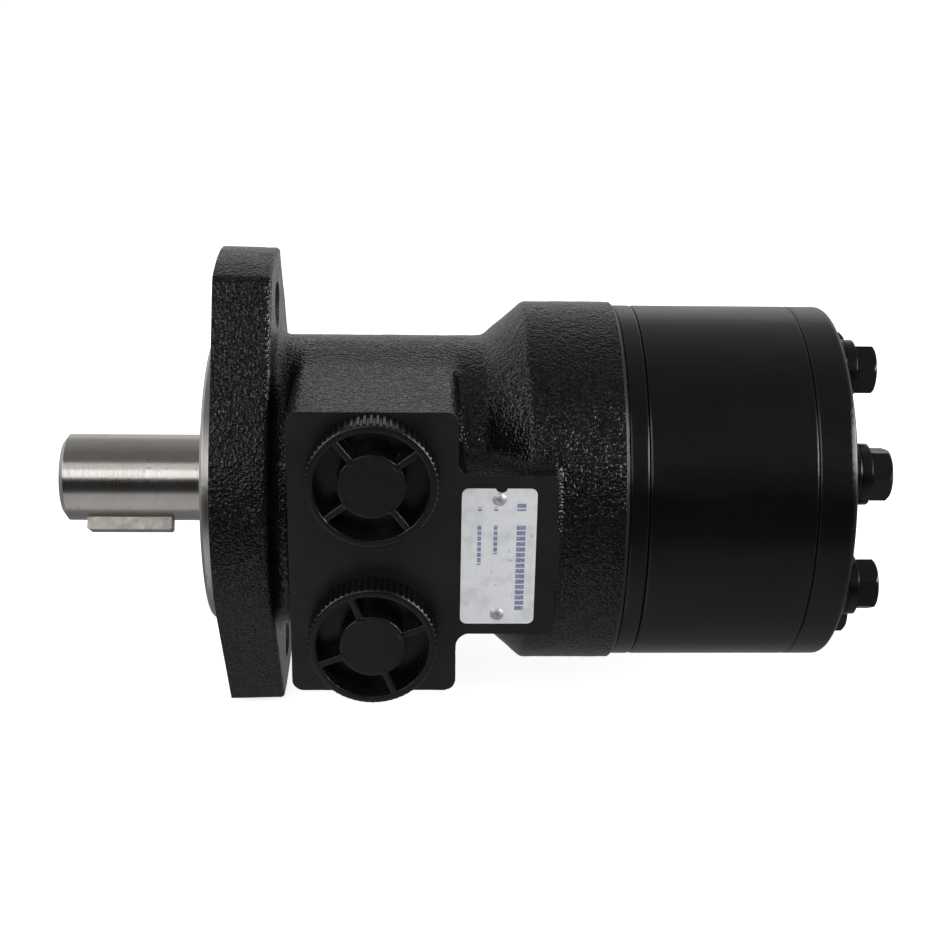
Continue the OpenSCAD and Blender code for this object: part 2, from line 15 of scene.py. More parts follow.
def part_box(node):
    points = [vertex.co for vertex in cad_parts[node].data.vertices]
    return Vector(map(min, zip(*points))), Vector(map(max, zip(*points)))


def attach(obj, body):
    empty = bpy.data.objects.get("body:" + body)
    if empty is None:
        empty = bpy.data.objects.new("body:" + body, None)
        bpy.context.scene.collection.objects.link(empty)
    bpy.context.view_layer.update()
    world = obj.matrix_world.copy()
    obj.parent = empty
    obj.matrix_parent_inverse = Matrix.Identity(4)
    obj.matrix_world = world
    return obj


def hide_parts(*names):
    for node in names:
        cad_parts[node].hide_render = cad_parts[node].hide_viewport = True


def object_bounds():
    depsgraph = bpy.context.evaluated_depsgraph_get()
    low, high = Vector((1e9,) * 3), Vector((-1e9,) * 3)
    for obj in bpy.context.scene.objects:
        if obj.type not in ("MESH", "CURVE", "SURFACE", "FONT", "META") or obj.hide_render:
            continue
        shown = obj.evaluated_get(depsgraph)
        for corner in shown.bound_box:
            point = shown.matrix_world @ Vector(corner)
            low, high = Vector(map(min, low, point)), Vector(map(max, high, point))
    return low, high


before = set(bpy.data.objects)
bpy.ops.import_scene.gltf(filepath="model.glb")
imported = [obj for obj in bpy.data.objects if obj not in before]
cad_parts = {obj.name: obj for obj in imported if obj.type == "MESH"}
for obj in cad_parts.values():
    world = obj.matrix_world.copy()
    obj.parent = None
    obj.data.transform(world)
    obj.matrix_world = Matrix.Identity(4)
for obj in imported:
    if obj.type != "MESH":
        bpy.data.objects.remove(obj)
cad_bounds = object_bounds()
MM = 0.001


def box_mm(node):
    """Lowest and highest corner of a CAD node, in millimetres."""
    lo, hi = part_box(node)
    return np.array(lo) / MM, np.array(hi) / MM


# ---------- sizes ----------

HOUSING_LO, HOUSING_HI = box_mm("housing")
PLUG_LO, PLUG_HI = box_mm("port_plug_a")
PLATE_LO, PLATE_HI = box_mm("name_plate")

# Outside of the housing, as in the CAD source
PORT_FACE = -HOUSING_LO[1]
PILOT_X = HOUSING_LO[0]
REAR_X = HOUSING_HI[0]
PILOT_R = 41.275
PILOT_CHAMFER = 0.8
REAR_CHAMFER = 1.0
FLANGE_T = 16.0
FLANGE_END_R = HOUSING_HI[2]
FLANGE_WAIST_R = 48.0
FLANGE_SLOPE = math.radians(31)
FLANGE_DRAFT = 0.02
FLANGE_HOLE_Z = 53.2
FLANGE_HOLE_R = 6.75
NECK_R = 42.5
BELL_R = 52.6
CONE_X = (74.6, 86.3)
BLOCK_X = (21.5, 66.5)
BLOCK_Z = 41.2
PAD_X = 93.0
PAD_Z = 23.5

# Radii that the mould leaves on the casting's edges and inner corners
TIP_EDGE = 1.2
FLANGE_EDGE = 1.4
BELL_EDGE = 0.6
BLOCK_EDGE = 3.3
PAD_EDGE = 1.5
NECK_FILLET = 0.9
PAD_FILLET = 3.7
FLANGE_FILLET = 3.1
BLOCK_FILLET = 2.2

# Bores of the housing, each step of one as its radius, start and end (FAR: through the rear face).
# A cut that leaves through a face runs PAST further.
PAST = 9
FAR = 200
WEB_R = 15.0
BORE_STEPS = ((18.4, -PAST, 2), (17.8, 4, FAR), (19.05, 11.5, FAR), (25, 33, 39), (25, 48.8, 54.8))
O_RING_R, O_RING_HALF, O_RING_DEPTH = 46.9, 1.15, 1.4
PORT_X = 43.9
PORT_Z = 23.4
PORT_R = 10.4
PORT_DEPTH = 16.0
PORT_COUNTERSINK = 11.5
THREAD_PITCH = 1.814
THREAD_H = 0.7
FEED_R, FEED_X, FEED_STOP = 4.0, 6.2, 13.5
RIVET_X, RIVET_Z, RIVET_R, RIVET_DEPTH = 77.5, 17.0, 1.02, 4
BOLT_STEP = 2 * math.pi / 7
BOLT_CIRCLE, BOLT_R, BOLT_DEPTH = 39.1, 3.98, 17
WAY_CIRCLE, WAY_R, WAY_X = 29.8, 2.8, PORT_X - 3.3
WINDOW_R, WINDOW_IN, WINDOW_OUT = 2.5, 17, 32
CHECK_CIRCLE, CHECK_ANGLE = 30, math.radians(154.3)
CHECK_STEPS = ((3.62, REAR_X - 9.8, FAR), (2.8, REAR_X - 15.4, FAR))
DRAIN_R, DRAIN_X = 1.6, 7.9

# Port plugs
PLUG_R = 17.5
PLUG_H = -PLUG_LO[1] - PORT_FACE
PLUG_STEM = -PORT_FACE - PLUG_HI[1]
PLUG_STEM_R = PORT_R - 0.3
PLUG_HOLLOW_R = 8.6
PLUG_RIM_R = 15.15
PLUG_HUB_R = 9.0
PLUG_FLOOR = 1.2
PLUG_RIDGES = 64
RIDGE_H = 0.24


# ---------- implicit shapes ----------

def round_max(a, b, r):
    """Intersection of two shapes, its outer edge rounded to radius r."""
    return np.minimum(np.maximum(a, b), -r) + np.hypot(np.maximum(a + r, 0), np.maximum(b + r, 0))


def round_min(a, b, r):
    """Union of two shapes, with a fillet of radius r between them."""
    return np.maximum(np.minimum(a, b), r) - np.hypot(np.maximum(r - a, 0), np.maximum(r - b, 0))


def band(v, lo, hi):
    """Distance outside the slab lo..hi."""
    return np.maximum(lo - v, v - hi)


def chamfer(a):
    """Field of a 45 degree plane from the sum of its two coordinates."""
    return a * math.sqrt(0.5)


def hole(along, u, v, r, lo, hi):
    """A round hole of radius r round u = v = 0, from lo to hi along its axis."""
    return np.maximum(np.hypot(u, v) - r, band(along, lo, hi))


def lumps(p, wavelength, seed):
    """Smooth seeded noise, mostly within -1..1, whose bumps are about one wavelength wide."""
    side = 32
    lattice = np.random.default_rng(seed).standard_normal((side, side, side))
    cell, part = [], []
    for v in p:
        low = np.floor(v / wavelength)
        t = v / wavelength - low
        cell.append(low.astype(int))
        part.append(t * t * (3 - 2 * t))
    total = 0
    for corner in range(8):
        steps = [corner >> k & 1 for k in range(3)]
        weight = 1
        for t, s in zip(part, steps):
            weight = weight * (t if s else 1 - t)
        total = total + weight * lattice[tuple((c + s) % side for c, s in zip(cell, steps))]
    return total


# ---------- housing ----------

def casting(p):
    """Outside of the casting before its skin and any machining."""
    x, y, z = p
    rho = np.hypot(y, z)
    ay, az = np.abs(y), np.abs(z)
    straight = ay * math.cos(FLANGE_SLOPE) + az * math.sin(FLANGE_SLOPE)
    side = np.where(np.arctan2(az, ay) < FLANGE_SLOPE, rho, straight) - FLANGE_WAIST_R
    outline = round_max(side, rho - FLANGE_END_R, TIP_EDGE)
    flange = round_max(outline + FLANGE_DRAFT * x, x - FLANGE_T, FLANGE_EDGE)
    rise = math.atan2(BELL_R - NECK_R, CONE_X[1] - CONE_X[0])
    cone = (rho - NECK_R) * math.cos(rise) - (x - CONE_X[0]) * math.sin(rise)
    bell = round_max(rho - BELL_R, cone, BELL_EDGE)
    neck = np.maximum(rho - NECK_R, FLANGE_T / 2 - x)
    body = round_min(neck, bell, NECK_FILLET)
    block_side = round_max(band(x, *BLOCK_X), az - BLOCK_Z, BLOCK_EDGE)
    pad_side = round_max(band(x, BLOCK_X[1] - 4, PAD_X), az - PAD_Z, PAD_EDGE)
    block = np.maximum(round_min(block_side, pad_side, PAD_FILLET), y)
    return round_min(round_min(flange, body, FLANGE_FILLET), block, BLOCK_FILLET)


def cast_skin(p):
    """The casting with the uneven, sandy skin that the mould leaves."""
    d = np.array(casting(p))
    near = np.abs(d) < 2
    q = [np.broadcast_to(v, d.shape)[near] for v in p]
    d[near] += 0.03 * lumps(q, 2.1, 3) + 0.05 * lumps(q, 7.0, 5)
    return d


def port(p, s):
    """Threaded port on side s, with its countersunk mouth."""
    x, y, z = p
    u, v, depth = x - PORT_X, z - s * PORT_Z, y + PORT_FACE
    phase = (depth / THREAD_PITCH + np.arctan2(v, u) / (2 * math.pi)) % 1
    crest = np.clip(1.6 * (1 - 2 * np.abs(phase - 0.5)) - 0.5, 0, 1) * (depth < PORT_DEPTH - 2)
    wall = np.hypot(u, v) - np.maximum(PORT_R + THREAD_H * crest, PORT_COUNTERSINK - depth)
    return np.maximum(wall, band(depth, -PAST, PORT_DEPTH))


def bores(p):
    """Everything machined out of the housing: bore, seats, ports, ways and bolt holes."""
    x, y, z = p
    rho = np.hypot(y, z)
    depth = y + PORT_FACE
    cuts = [rho - WEB_R, np.maximum(np.abs(rho - O_RING_R) - O_RING_HALF, REAR_X - O_RING_DEPTH - x)]
    for r, lo, hi in BORE_STEPS:
        cuts.append(np.maximum(rho - r, band(x, lo, hi)))
    for s in (-1, 1):
        cuts.append(hole(x, y, z - s * FLANGE_HOLE_Z, FLANGE_HOLE_R, -PAST, FLANGE_T + PAST))
        cuts.append(port(p, s))
        cuts.append(hole(depth, x - PORT_X + s * FEED_X, z - s * PORT_Z, FEED_R,
                         PORT_DEPTH - 1, PORT_FACE - FEED_STOP))
        cuts.append(hole(depth, x - RIVET_X, z - s * RIVET_Z, RIVET_R, -1, RIVET_DEPTH))
        a = math.pi + s * CHECK_ANGLE
        u, v = CHECK_CIRCLE * math.cos(a), CHECK_CIRCLE * math.sin(a)
        for r, lo, hi in (*CHECK_STEPS, (DRAIN_R, PORT_X - s * DRAIN_X, FAR)):
            cuts.append(hole(x, y - u, z - v, r, lo, hi))
    for k in range(7):
        a = math.pi + BOLT_STEP * (k + 0.5)
        u, v = math.cos(a), math.sin(a)
        cuts.append(hole(x, y - WAY_CIRCLE * u, z - WAY_CIRCLE * v, WAY_R, WAY_X, FAR))
        cuts.append(hole(y * u + z * v, x - PORT_X, y * v - z * u, WINDOW_R, WINDOW_IN, WINDOW_OUT))
        cuts.append(hole(x, y - BOLT_CIRCLE * u, z - BOLT_CIRCLE * v, BOLT_R, REAR_X - BOLT_DEPTH, FAR))
    out = cuts[0]
    for cut in cuts[1:]:
        out = np.minimum(out, cut)
    return out


def housing(p):
    """The machined casting: pilot, mounting face, port face and rear face are cut flat."""
    x, y, z = p
    rho = np.hypot(y, z)
    pilot = np.maximum(rho - PILOT_R, band(x, PILOT_X, 1))
    pilot = np.maximum(pilot, chamfer(rho - PILOT_R + PILOT_X - x + PILOT_CHAMFER))
    body = np.maximum(cast_skin(p), band(x, 0, REAR_X))
    body = np.maximum(body, -PORT_FACE - y)
    body = np.maximum(body, chamfer(rho - BELL_R + x - REAR_X + REAR_CHAMFER))
    return np.maximum(np.minimum(body, pilot), -bores(p))


# ---------- port plugs ----------

def plug(centre_z, turn):
    """Field of a knurled screw plug with a hub, four spokes and a hollow threaded stem."""

    def field(p):
        x, y, z = p
        u, v, h = x - PORT_X, z - centre_z, -PORT_FACE - y
        r, a = np.hypot(u, v), np.arctan2(v, u)
        ridge = np.clip(1.9 * np.cos(PLUG_RIDGES * a) + 0.35, -1, 1) * np.clip((PLUG_H - 0.3 - h) / 0.5, 0, 1)
        rim = round_max(r - PLUG_R + RIDGE_H * (1 - ridge), h - PLUG_H, 0.7)
        rim = np.maximum(round_max(rim, PLUG_RIM_R - r, 0.35), -h)
        hub = np.maximum(round_max(r - PLUG_HUB_R, h - PLUG_H + 0.3, 0.5), PLUG_FLOOR - 0.4 - h)
        hub = np.maximum(hub, -np.maximum(r - PLUG_HUB_R + 1.4, h - PLUG_H + 1.7))
        spokes = FAR
        for angle in (turn, turn + math.pi / 2):
            across = np.abs(u * math.sin(angle) - v * math.cos(angle))
            spokes = np.minimum(spokes, round_max(across - 0.9, h - PLUG_H + 0.4, 0.35))
        between = band(r, PLUG_HUB_R - 0.8, PLUG_RIM_R + 0.8)
        spokes = np.maximum(spokes, np.maximum(PLUG_FLOOR - 0.4 - h, between))
        disc = np.maximum(r - PLUG_RIM_R - 0.8, band(h, 0, PLUG_FLOOR))
        head = np.minimum(np.minimum(rim, disc), round_min(hub, spokes, 0.4))
        head = round_min(head, disc, 0.3)
        phase = (a / (2 * math.pi) - h / THREAD_PITCH) % 1
        thread = 0.6 * np.clip(1 - 4 * np.abs(phase - 0.5), 0, 1) * (h < -1.5)
        stem = np.maximum(r - PLUG_STEM_R + thread, band(h, PLUG_STEM, PLUG_FLOOR))
        stem = np.maximum(stem, chamfer(r - PLUG_STEM_R + PLUG_STEM + 1 - h))
        hollow = np.maximum(r - PLUG_HOLLOW_R, h - PLUG_FLOOR + 0.4)
        return np.maximum(np.minimum(head, stem), -hollow)

    return field


# ---------- name plate ----------

def plate(p):
    """A thin plate with rounded corners, two rivet holes, a nick in its upper edge and stamped dots."""
    x, y, z = p
    mid, half = (PLATE_LO + PLATE_HI) / 2, (PLATE_HI - PLATE_LO) / 2
    u, v = x - mid[0], z - mid[2]
    edge = round_max(np.abs(u) - half[0], np.abs(v) - half[2], 1.8)
    edge = np.maximum(edge, 1.6 - np.hypot(u - 0.5, v - half[2] - 0.4))
    for s in (-1, 1):
        edge = np.maximum(edge, 1.1 - np.hypot(u, v - s * RIVET_Z))
    dots = 0
    for row, start in ((3.4, -13.5), (-6.3, 2.0), (-6.3, -12.0)):
        for k in range(9):
            sway = 0.35 * math.sin(7.1 * k + start)
            dots = np.maximum(dots, 1 - np.hypot(u - row - sway, v - start - 1.15 * k) / 0.42)
    front = PLATE_LO[1] - y + 0.16 * dots
    return round_max(edge, np.maximum(front, y - PLATE_HI[1]), 0.12)


# ---------- meshing ----------

def gradient(field, p, step):
    """Unit gradient of a field at a list of points."""
    rows = []
    for k in range(3):
        ahead, behind = [q.copy() for q in p], [q.copy() for q in p]
        ahead[k] += step
        behind[k] -= step
        rows.append(field(ahead) - field(behind))
    g = np.array(rows)
    return g / np.maximum(np.linalg.norm(g, axis=0), 1e-9)


def sample(field, axes):
    """Values of a field on a grid, worked out a few layers at a time."""
    values = np.empty([len(a) for a in axes])
    layers = 12
    for i in range(0, len(axes[0]), layers):
        x = axes[0][i:i + layers, None, None]
        values[i:i + layers] = field((x, axes[1][None, :, None], axes[2][None, None, :]))
    return values


def crossings(field, axes, values, k, cell):
    """Points where the surface crosses the grid edges along axis k, and the first corner of each edge."""
    first, second = [slice(None)] * 3, [slice(None)] * 3
    first[k], second[k] = slice(0, -1), slice(1, None)
    index = np.argwhere((values[tuple(first)] < 0) != (values[tuple(second)] < 0))
    ahead = index.copy()
    ahead[:, k] += 1
    v0, v1 = values[tuple(index.T)], values[tuple(ahead.T)]
    start = [axes[m][index[:, m]] for m in range(3)]

    def at(t):
        p = [q.copy() for q in start]
        p[k] = start[k] + t * cell
        return p

    a, b = np.zeros(len(index)), np.ones(len(index))
    for _ in range(3):
        t = np.clip(a + (b - a) * v0 / (v0 - v1), a + 0.05 * (b - a), b - 0.05 * (b - a))
        v = field(at(t))
        same = (v < 0) == (v0 < 0)
        a, v0 = np.where(same, t, a), np.where(same, v, v0)
        b, v1 = np.where(same, b, t), np.where(same, v1, v)
    return at(a + (b - a) * v0 / np.where(v0 == v1, 1, v0 - v1)), index


def quad_mesh(name, vertices, faces):
    """A smooth-shaded object from vertices in millimetres and faces of four corners."""
    mesh = bpy.data.meshes.new(name)
    mesh.vertices.add(len(vertices))
    mesh.vertices.foreach_set("co", (vertices * MM).astype(np.float32).ravel())
    mesh.loops.add(faces.size)
    mesh.loops.foreach_set("vertex_index", faces.astype(np.int32).ravel())
    mesh.polygons.add(len(faces))
    mesh.polygons.foreach_set("loop_start", np.arange(0, faces.size, 4, dtype=np.int32))
    mesh.update(calc_edges=True)
    mesh.validate()
    mesh.shade_smooth()
    mesh.set_sharp_from_angle(angle=math.radians(38))
    obj = bpy.data.objects.new(name, mesh)
    bpy.context.scene.collection.objects.link(obj)
    return obj


def surface_mesh(name, field, lo, hi, cell):
    """Meshes the zero surface of a field by dual contouring, which keeps its sharp edges sharp."""
    lo = np.array(lo) - 2.37 * cell
    count = np.ceil((np.array(hi) + 2 * cell - lo) / cell).astype(int) + 1
    axes = [lo[k] + cell * np.arange(count[k]) for k in range(3)]
    values = sample(field, axes)
    strides = np.array([count[1] * count[2], count[2], 1])

    cells, points, normals = [], [], []
    for k in range(3):
        p, index = crossings(field, axes, values, k, cell)
        u, w = (k + 1) % 3, (k + 2) % 3
        around = [index.copy() for _ in range(4)]
        around[1][:, u] -= 1
        around[2][:, u] -= 1
        around[2][:, w] -= 1
        around[3][:, w] -= 1
        four = np.array([c @ strides for c in around])
        enters = values[tuple(index.T)] >= 0
        four[:, enters] = four[::-1, enters]
        cells.append(four)
        points.append(np.array(p))
        normals.append(gradient(field, p, 0.02 * cell))
    cells, points, normals = (np.concatenate(rows, 1) for rows in (cells, points, normals))

    # Each cell's vertex is where the tangent planes of its crossings meet, pulled gently to their middle
    used, slot = np.unique(cells, return_inverse=True)
    slot = slot.reshape(cells.shape)
    n = len(used)

    def gather(weights):
        return sum(np.bincount(slot[k], weights, n) for k in range(4))

    hits = gather(np.ones(points.shape[1]))
    middle = np.array([gather(row) for row in points]) / hits
    offset = (normals * points).sum(0)
    matrix, target = np.zeros((n, 3, 3)), np.zeros((n, 3))
    for i in range(3):
        for j in range(3):
            matrix[:, i, j] = gather(normals[i] * normals[j])
        target[:, i] = gather(normals[i] * offset)
    target -= np.einsum("nij,jn->ni", matrix, middle)
    matrix += 0.04 * np.eye(3)
    shift = np.linalg.solve(matrix, target[:, :, None])[:, :, 0]
    low = lo[:, None] + cell * np.array(np.unravel_index(used, count))
    vertices = np.clip(middle + shift.T, low, low + cell)
    return quad_mesh(name, vertices.T, slot.T)


def face_centres(obj):
    """Face centres of a mesh, in millimetres, as three rows."""
    centres = np.empty(len(obj.data.polygons) * 3, np.float32)
    obj.data.polygons.foreach_get("center", centres)
    return centres.reshape(-1, 3).T.astype(float) / MM


def paint_zones(obj, materials, zone):
    """Gives each face of a mesh the material whose number is in zone."""
    for m in materials:
        obj.data.materials.append(m)
    obj.data.polygons.foreach_set("material_index", zone.astype(np.int32))
    obj.data.update()


# ---------- materials ----------

def scaled(colour, by):
    return tuple(c * by for c in colour)


class Nodes:
    """A material with a Principled shader, and short ways to add nodes to it."""

    def __init__(self, name, colour, rough, metal=0.0):
        self.material = bpy.data.materials.new(name)
        self.material.use_nodes = True
        self.material.diffuse_color = (*colour, 1)
        self.tree = self.material.node_tree
        self.shader = self.tree.nodes["Principled BSDF"]
        self.put(self.shader, {"Base Color": (*colour, 1), "Roughness": rough, "Metallic": metal})
        self.where = self.add("TexCoord").outputs["Object"]
        self.normal = None

    def put(self, node, values):
        for key, value in values.items():
            if isinstance(value, bpy.types.NodeSocket):
                self.tree.links.new(value, node.inputs[key])
            else:
                node.inputs[key].default_value = value

    def add(self, kind, settings=(), **inputs):
        node = self.tree.nodes.new("ShaderNode" + kind)
        for key, value in dict(settings).items():
            setattr(node, key, value)
        self.put(node, inputs)
        return node

    def math(self, operation, *values):
        node = self.add("Math", {"operation": operation})
        self.put(node, dict(enumerate(values)))
        return node.outputs[0]

    def scaled(self, x, y, z):
        """The object's coordinates, each multiplied: a large factor makes fine detail along it."""
        node = self.add("VectorMath", {"operation": "MULTIPLY"})
        self.put(node, {0: self.where, 1: (x, y, z)})
        return node.outputs[0]

    def around_x(self, along, radial, turn):
        """Coordinates along the shaft axis, out from it and round it, for turned surfaces."""
        x, y, z = self.add("SeparateXYZ", Vector=self.where).outputs
        square = self.math("ADD", self.math("MULTIPLY", y, y), self.math("MULTIPLY", z, z))
        joined = self.add("CombineXYZ", X=self.math("MULTIPLY", x, along),
                          Y=self.math("MULTIPLY", self.math("SQRT", square), radial),
                          Z=self.math("MULTIPLY", self.math("ARCTAN2", z, y), turn))
        return joined.outputs[0]

    def noise(self, scale, detail=2.0, at=None):
        node = self.add("TexNoise", Vector=at or self.where, Scale=scale, Detail=detail)
        return node.outputs["Fac"]

    def spread(self, value, low, high, start=0.3, stop=0.7):
        """Maps start..stop of a value onto low..high."""
        node = self.add("MapRange", {"clamp": True}, Value=value)
        self.put(node, {"From Min": start, "From Max": stop, "To Min": low, "To Max": high})
        return node.outputs[0]

    def blend(self, factor, first, second):
        """Mixes two colours, each a tuple or a socket."""
        first, second = ((*c, 1) if isinstance(c, tuple) else c for c in (first, second))
        node = self.add("Mix", {"data_type": "RGBA"})
        self.put(node, {0: factor, 6: first, 7: second})
        return node.outputs[2]

    def soften(self, radius):
        """Rounds the shading of sharp edges, as paint does; radius in millimetres."""
        self.normal = self.add("Bevel", {"samples": 4}, Radius=radius * MM).outputs[0]
        self.put(self.shader, {"Normal": self.normal})

    def bump(self, height, depth):
        """Raises the surface by up to depth millimetres."""
        node = self.add("Bump", Height=height, Strength=1.0, Distance=depth * MM)
        if self.normal:
            self.put(node, {"Normal": self.normal})
        self.normal = node.outputs[0]
        self.put(self.shader, {"Normal": self.normal})

    def set(self, **values):
        self.put(self.shader, {key.replace("_", " "): value for key, value in values.items()})


def cast_paint():
    """Semi-gloss black paint over sandy iron, with painted shade in the pits between the grains: their
    reflection is weakened.
    """
    n = Nodes("black_cast_paint", (0.006, 0.006, 0.006), 0.4)
    n.soften(0.35)
    grain = n.noise(1400, 0)
    n.bump(n.noise(520, 1), 0.2)
    n.bump(grain, 0.34)
    # Painted shade: the grain noise also lowers the reflection strength in the pits between the grains
    n.set(Roughness=n.spread(n.noise(260, 3), 0.18, 0.26),
          Specular_IOR_Level=n.spread(grain, 0.26, 0.68, 0.36, 0.64),
          Base_Color=n.blend(n.spread(n.noise(60, 4), 0, 1), (0.002,) * 3, (0.0045,) * 3))
    return n.material


def smooth_paint(name, low, high, grey):
    """Satin black paint over a machined face, with fine orange peel and faint wipe marks."""
    n = Nodes(name, (grey, grey, grey), 0.3)
    n.soften(0.3)
    n.bump(n.noise(700, 2), 0.012)
    marks = n.noise(1.0, 3, at=n.scaled(40, 180, 180))
    n.set(Roughness=n.spread(marks, low, high, 0.35, 0.65),
          Base_Color=n.blend(n.spread(n.noise(90, 4), 0, 1), (grey * 0.7,) * 3, (grey * 1.3,) * 3))
    return n.material


def turned_steel(name, colour, rough, lines=0.004, spots=0.0, grain=0.0):
    """Bare steel with fine circular tool marks round the shaft axis, light stains and small nicks."""
    n = Nodes(name, colour, rough, 1.0)
    n.soften(0.25)
    n.bump(n.noise(1.0, 3, at=n.around_x(9000, 6000, 2.0)), lines)
    if grain:
        n.bump(n.noise(1700, 1), grain)
    stained = tuple(c * t for c, t in zip(colour, (0.9, 0.86, 0.8)))
    shade = n.blend(n.spread(n.noise(70, 5), 0, 1, 0.42, 0.72), colour, stained)
    if spots:
        shade = n.blend(n.spread(n.noise(900, 2), 0, spots, 0.66, 0.74), shade, (0.18, 0.15, 0.13))
    rings = n.noise(1.0, 2, at=n.around_x(2600, 2600, 1.0))
    n.set(Base_Color=shade, Roughness=n.spread(rings, rough * 0.75, rough * 1.3))
    return n.material


def plain_steel(name, colour, rough, brushed=(300, 300, 300)):
    """Bare steel of a flat or small part, brushed mostly one way."""
    n = Nodes(name, colour, rough, 1.0)
    n.soften(0.15)
    n.bump(n.noise(1.0, 3, at=n.scaled(*brushed)), 0.01)
    n.set(Base_Color=n.blend(n.spread(n.noise(160, 4), 0, 1, 0.4, 0.75), colour, scaled(colour, 0.72)),
          Roughness=n.spread(n.noise(500, 3), rough * 0.8, rough * 1.3))
    return n.material


def rubber(name, colour):
    """Dull moulded rubber."""
    n = Nodes(name, colour, 0.55)
    n.bump(n.noise(1500, 2), 0.02)
    n.set(Roughness=n.spread(n.noise(300, 3), 0.45, 0.7),
          Base_Color=n.blend(n.noise(220, 3), colour, scaled(colour, 1.6)))
    return n.material


def plastic(name, colour, rough):
    """Moulded plastic with a finely spark-eroded skin and slight flow marks."""
    n = Nodes(name, colour, rough)
    n.soften(0.12)
    n.bump(n.noise(2600, 2), 0.012)
    n.bump(n.noise(140, 2), 0.03)
    n.set(Roughness=n.spread(n.noise(420, 3), rough * 0.85, rough * 1.2),
          Base_Color=n.blend(n.spread(n.noise(70, 4), 0, 1), colour, scaled(colour, 1.5)))
    return n.material


# Printed rows on the plate: place across from its middle, width, lower and upper end
ROWS = ((5.9, 2.4, -16.0, 15.8), (-0.9, 1.0, 1.0, 14.8), (-5.2, 1.0, -2.2, 14.8))
BLOCK_STEP = 1.6


def label():
    """Matt aluminium with rows of plain printed blocks, light stains and dark specks."""
    n = Nodes("label_print", (0.7, 0.71, 0.73), 0.42, 0.2)
    n.bump(n.noise(1.0, 3, at=n.scaled(900, 900, 90)), 0.006)
    mid = (PLATE_LO + PLATE_HI) / 2 * MM
    u, _, v = n.add("SeparateXYZ", Vector=n.where).outputs
    u, v = n.math("SUBTRACT", u, mid[0]), n.math("SUBTRACT", v, mid[2])
    ink = 0
    for across, width, low, high in ROWS:
        inside = n.math("MULTIPLY", n.math("COMPARE", u, across * MM, width / 2 * MM),
                        n.math("COMPARE", v, (low + high) / 2 * MM, (high - low) / 2 * MM))
        ink = n.math("MAXIMUM", ink, inside)
    gaps = n.math("GREATER_THAN", n.math("PINGPONG", v, BLOCK_STEP / 2 * MM), 0.17 * MM)
    words = n.math("GREATER_THAN", n.noise(1.0, 0, at=n.scaled(0, 0, 130)), 0.37)
    wear = n.spread(n.noise(2500, 2), 0.45, 0.8, 0.25, 0.5)
    for part in (gaps, words, wear):
        ink = n.math("MULTIPLY", ink, part)
    metal = n.blend(n.spread(n.noise(240, 4), 0, 1, 0.45, 0.75), (0.74, 0.75, 0.77), (0.58, 0.59, 0.63))
    metal = n.blend(n.spread(n.noise(420, 2), 0, 0.6, 0.69, 0.75), metal, (0.16, 0.16, 0.20))
    n.set(Base_Color=n.blend(ink, metal, (0.03, 0.05, 0.22)), Metallic=n.spread(ink, 0.2, 0.0, 0, 1),
          Roughness=n.spread(n.noise(380, 3), 0.34, 0.5))
    return n.material


# ---------- CAD parts ----------

PAINT = smooth_paint("black_satin_paint", 0.19, 0.26, 0.0022)
DARK_PAINT = smooth_paint("black_bolt_paint", 0.18, 0.30, 0.003)
STEEL = (0.62, 0.60, 0.57)
ROLLER = plain_steel("roller_steel", (0.68, 0.68, 0.69), 0.12, (200, 2400, 2400))
BALL = plain_steel("ball_steel", (0.7, 0.7, 0.71), 0.08)
CORD = rubber("seal_cord", (0.010, 0.010, 0.010))
FINISH = {
    "output_shaft": turned_steel("ground_shaft", (0.62, 0.60, 0.58), 0.19,
                                 lines=0.003, spots=0.3, grain=0.012),
    "shaft_key": plain_steel("key_steel", (0.54, 0.50, 0.46), 0.36, (200, 1500, 1500)),
    "thrust_race_front": turned_steel("race_steel_front", STEEL, 0.16),
    "thrust_race_rear": turned_steel("race_steel_rear", STEEL, 0.16),
    "thrust_needles": plain_steel("needle_steel", (0.66, 0.66, 0.66), 0.12),
    "thrust_cage": plain_steel("cage_brass", (0.70, 0.50, 0.22), 0.3),
    "drive_link": plain_steel("forged_link", (0.22, 0.22, 0.23), 0.4, (400, 2200, 2200)),
    "star_rotor": plain_steel("rotor_steel", (0.5, 0.5, 0.5), 0.2, (3000, 300, 300)),
    "rotor_spacer": turned_steel("spacer_steel", (0.45, 0.45, 0.46), 0.3),
    "dust_seal": rubber("black_rubber", (0.012, 0.012, 0.012)),
    "backup_ring": plastic("white_backup", (0.75, 0.74, 0.68), 0.4),
    "shaft_seal": rubber("brown_rubber", (0.09, 0.03, 0.02)),
    "check_seats": plain_steel("seat_steel", (0.5, 0.5, 0.5), 0.3),
    "plate_rivets": plain_steel("rivet_steel", (0.92, 0.92, 0.93), 0.5),
    **{"roller_%d" % k: ROLLER for k in range(1, 8)},
    **dict.fromkeys(("check_ball_a", "check_ball_b"), BALL),
    **dict.fromkeys(("housing_o_ring", "plate_o_ring", "cover_o_ring"), CORD),
    **dict.fromkeys(("cover_bolts", "spring_washers", "flat_washers"), DARK_PAINT),
    **dict.fromkeys(("geroler_ring", "spacer_plate", "end_cover"), PAINT),
}

# Edge rounding of the visible turned and screwed parts, in millimetres
SOFT_EDGE = {"output_shaft": 0.25, "shaft_key": 0.35, "geroler_ring": 0.3, "spacer_plate": 0.3,
             "cover_bolts": 0.3, "spring_washers": 0.3, "flat_washers": 0.2}


